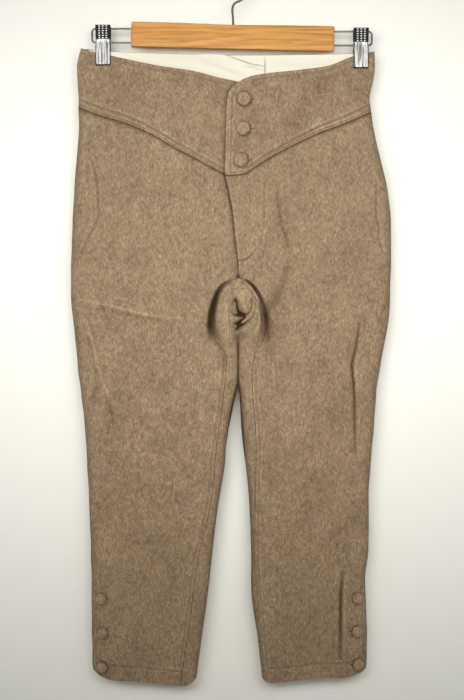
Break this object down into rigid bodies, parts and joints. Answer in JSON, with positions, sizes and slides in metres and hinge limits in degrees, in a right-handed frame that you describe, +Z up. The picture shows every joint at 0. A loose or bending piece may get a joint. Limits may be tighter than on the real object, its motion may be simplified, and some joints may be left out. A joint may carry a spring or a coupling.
{
  "type": "high-waisted wool trousers hung from a wooden clip hanger",
  "caption": "High-waisted tapered wool trousers with a V-shaped front yoke, covered buttons at waist and cuffs, and a pale inside facing, hung flat by the waist from a wooden clip hanger",
  "frame": {"origin": "the inside top of the hanger's hook, where a wardrobe rail holds it", "axes": "+Z up, the front of the trousers faces -Y, and the wearer's right side is at -X"},
  "size_m": [0.4483, 0.0408, 1.0072],
  "materials": {
    "wool": "soft brushed melange wool, matt",
    "facing": "plain pale cotton twill",
    "wood": "satin lacquered light wood",
    "metal": "bright plated steel",
    "grip": "black knurled plastic"
  },
  "bodies": {
    "root": {"front_right": "wool", "front_left": "wool", "back_right": "wool", "back_left": "wool", "yoke_right": "wool", "yoke_left": "wool", "facing_right": "facing", "facing_left": "facing", "button_waist_1": "wool", "button_waist_2": "wool", "button_waist_3": "wool", "button_cuff_right_1": "wool", "button_cuff_right_2": "wool", "button_cuff_right_3": "wool", "button_cuff_left_1": "wool", "button_cuff_left_2": "wool", "button_cuff_left_3": "wool", "hanger_bar": "wood", "hanger_hook": "metal", "hanger_rail_right": "metal", "hanger_rail_left": "metal", "clip_spring_right": "metal", "clip_spring_left": "metal", "clip_plate_front_right": "metal", "clip_plate_back_right": "metal", "clip_plate_front_left": "metal", "clip_plate_back_left": "metal", "clip_grip_front_right": "grip", "clip_grip_back_right": "grip", "clip_grip_front_left": "grip", "clip_grip_back_left": "grip"}
  },
  "joints": []
}
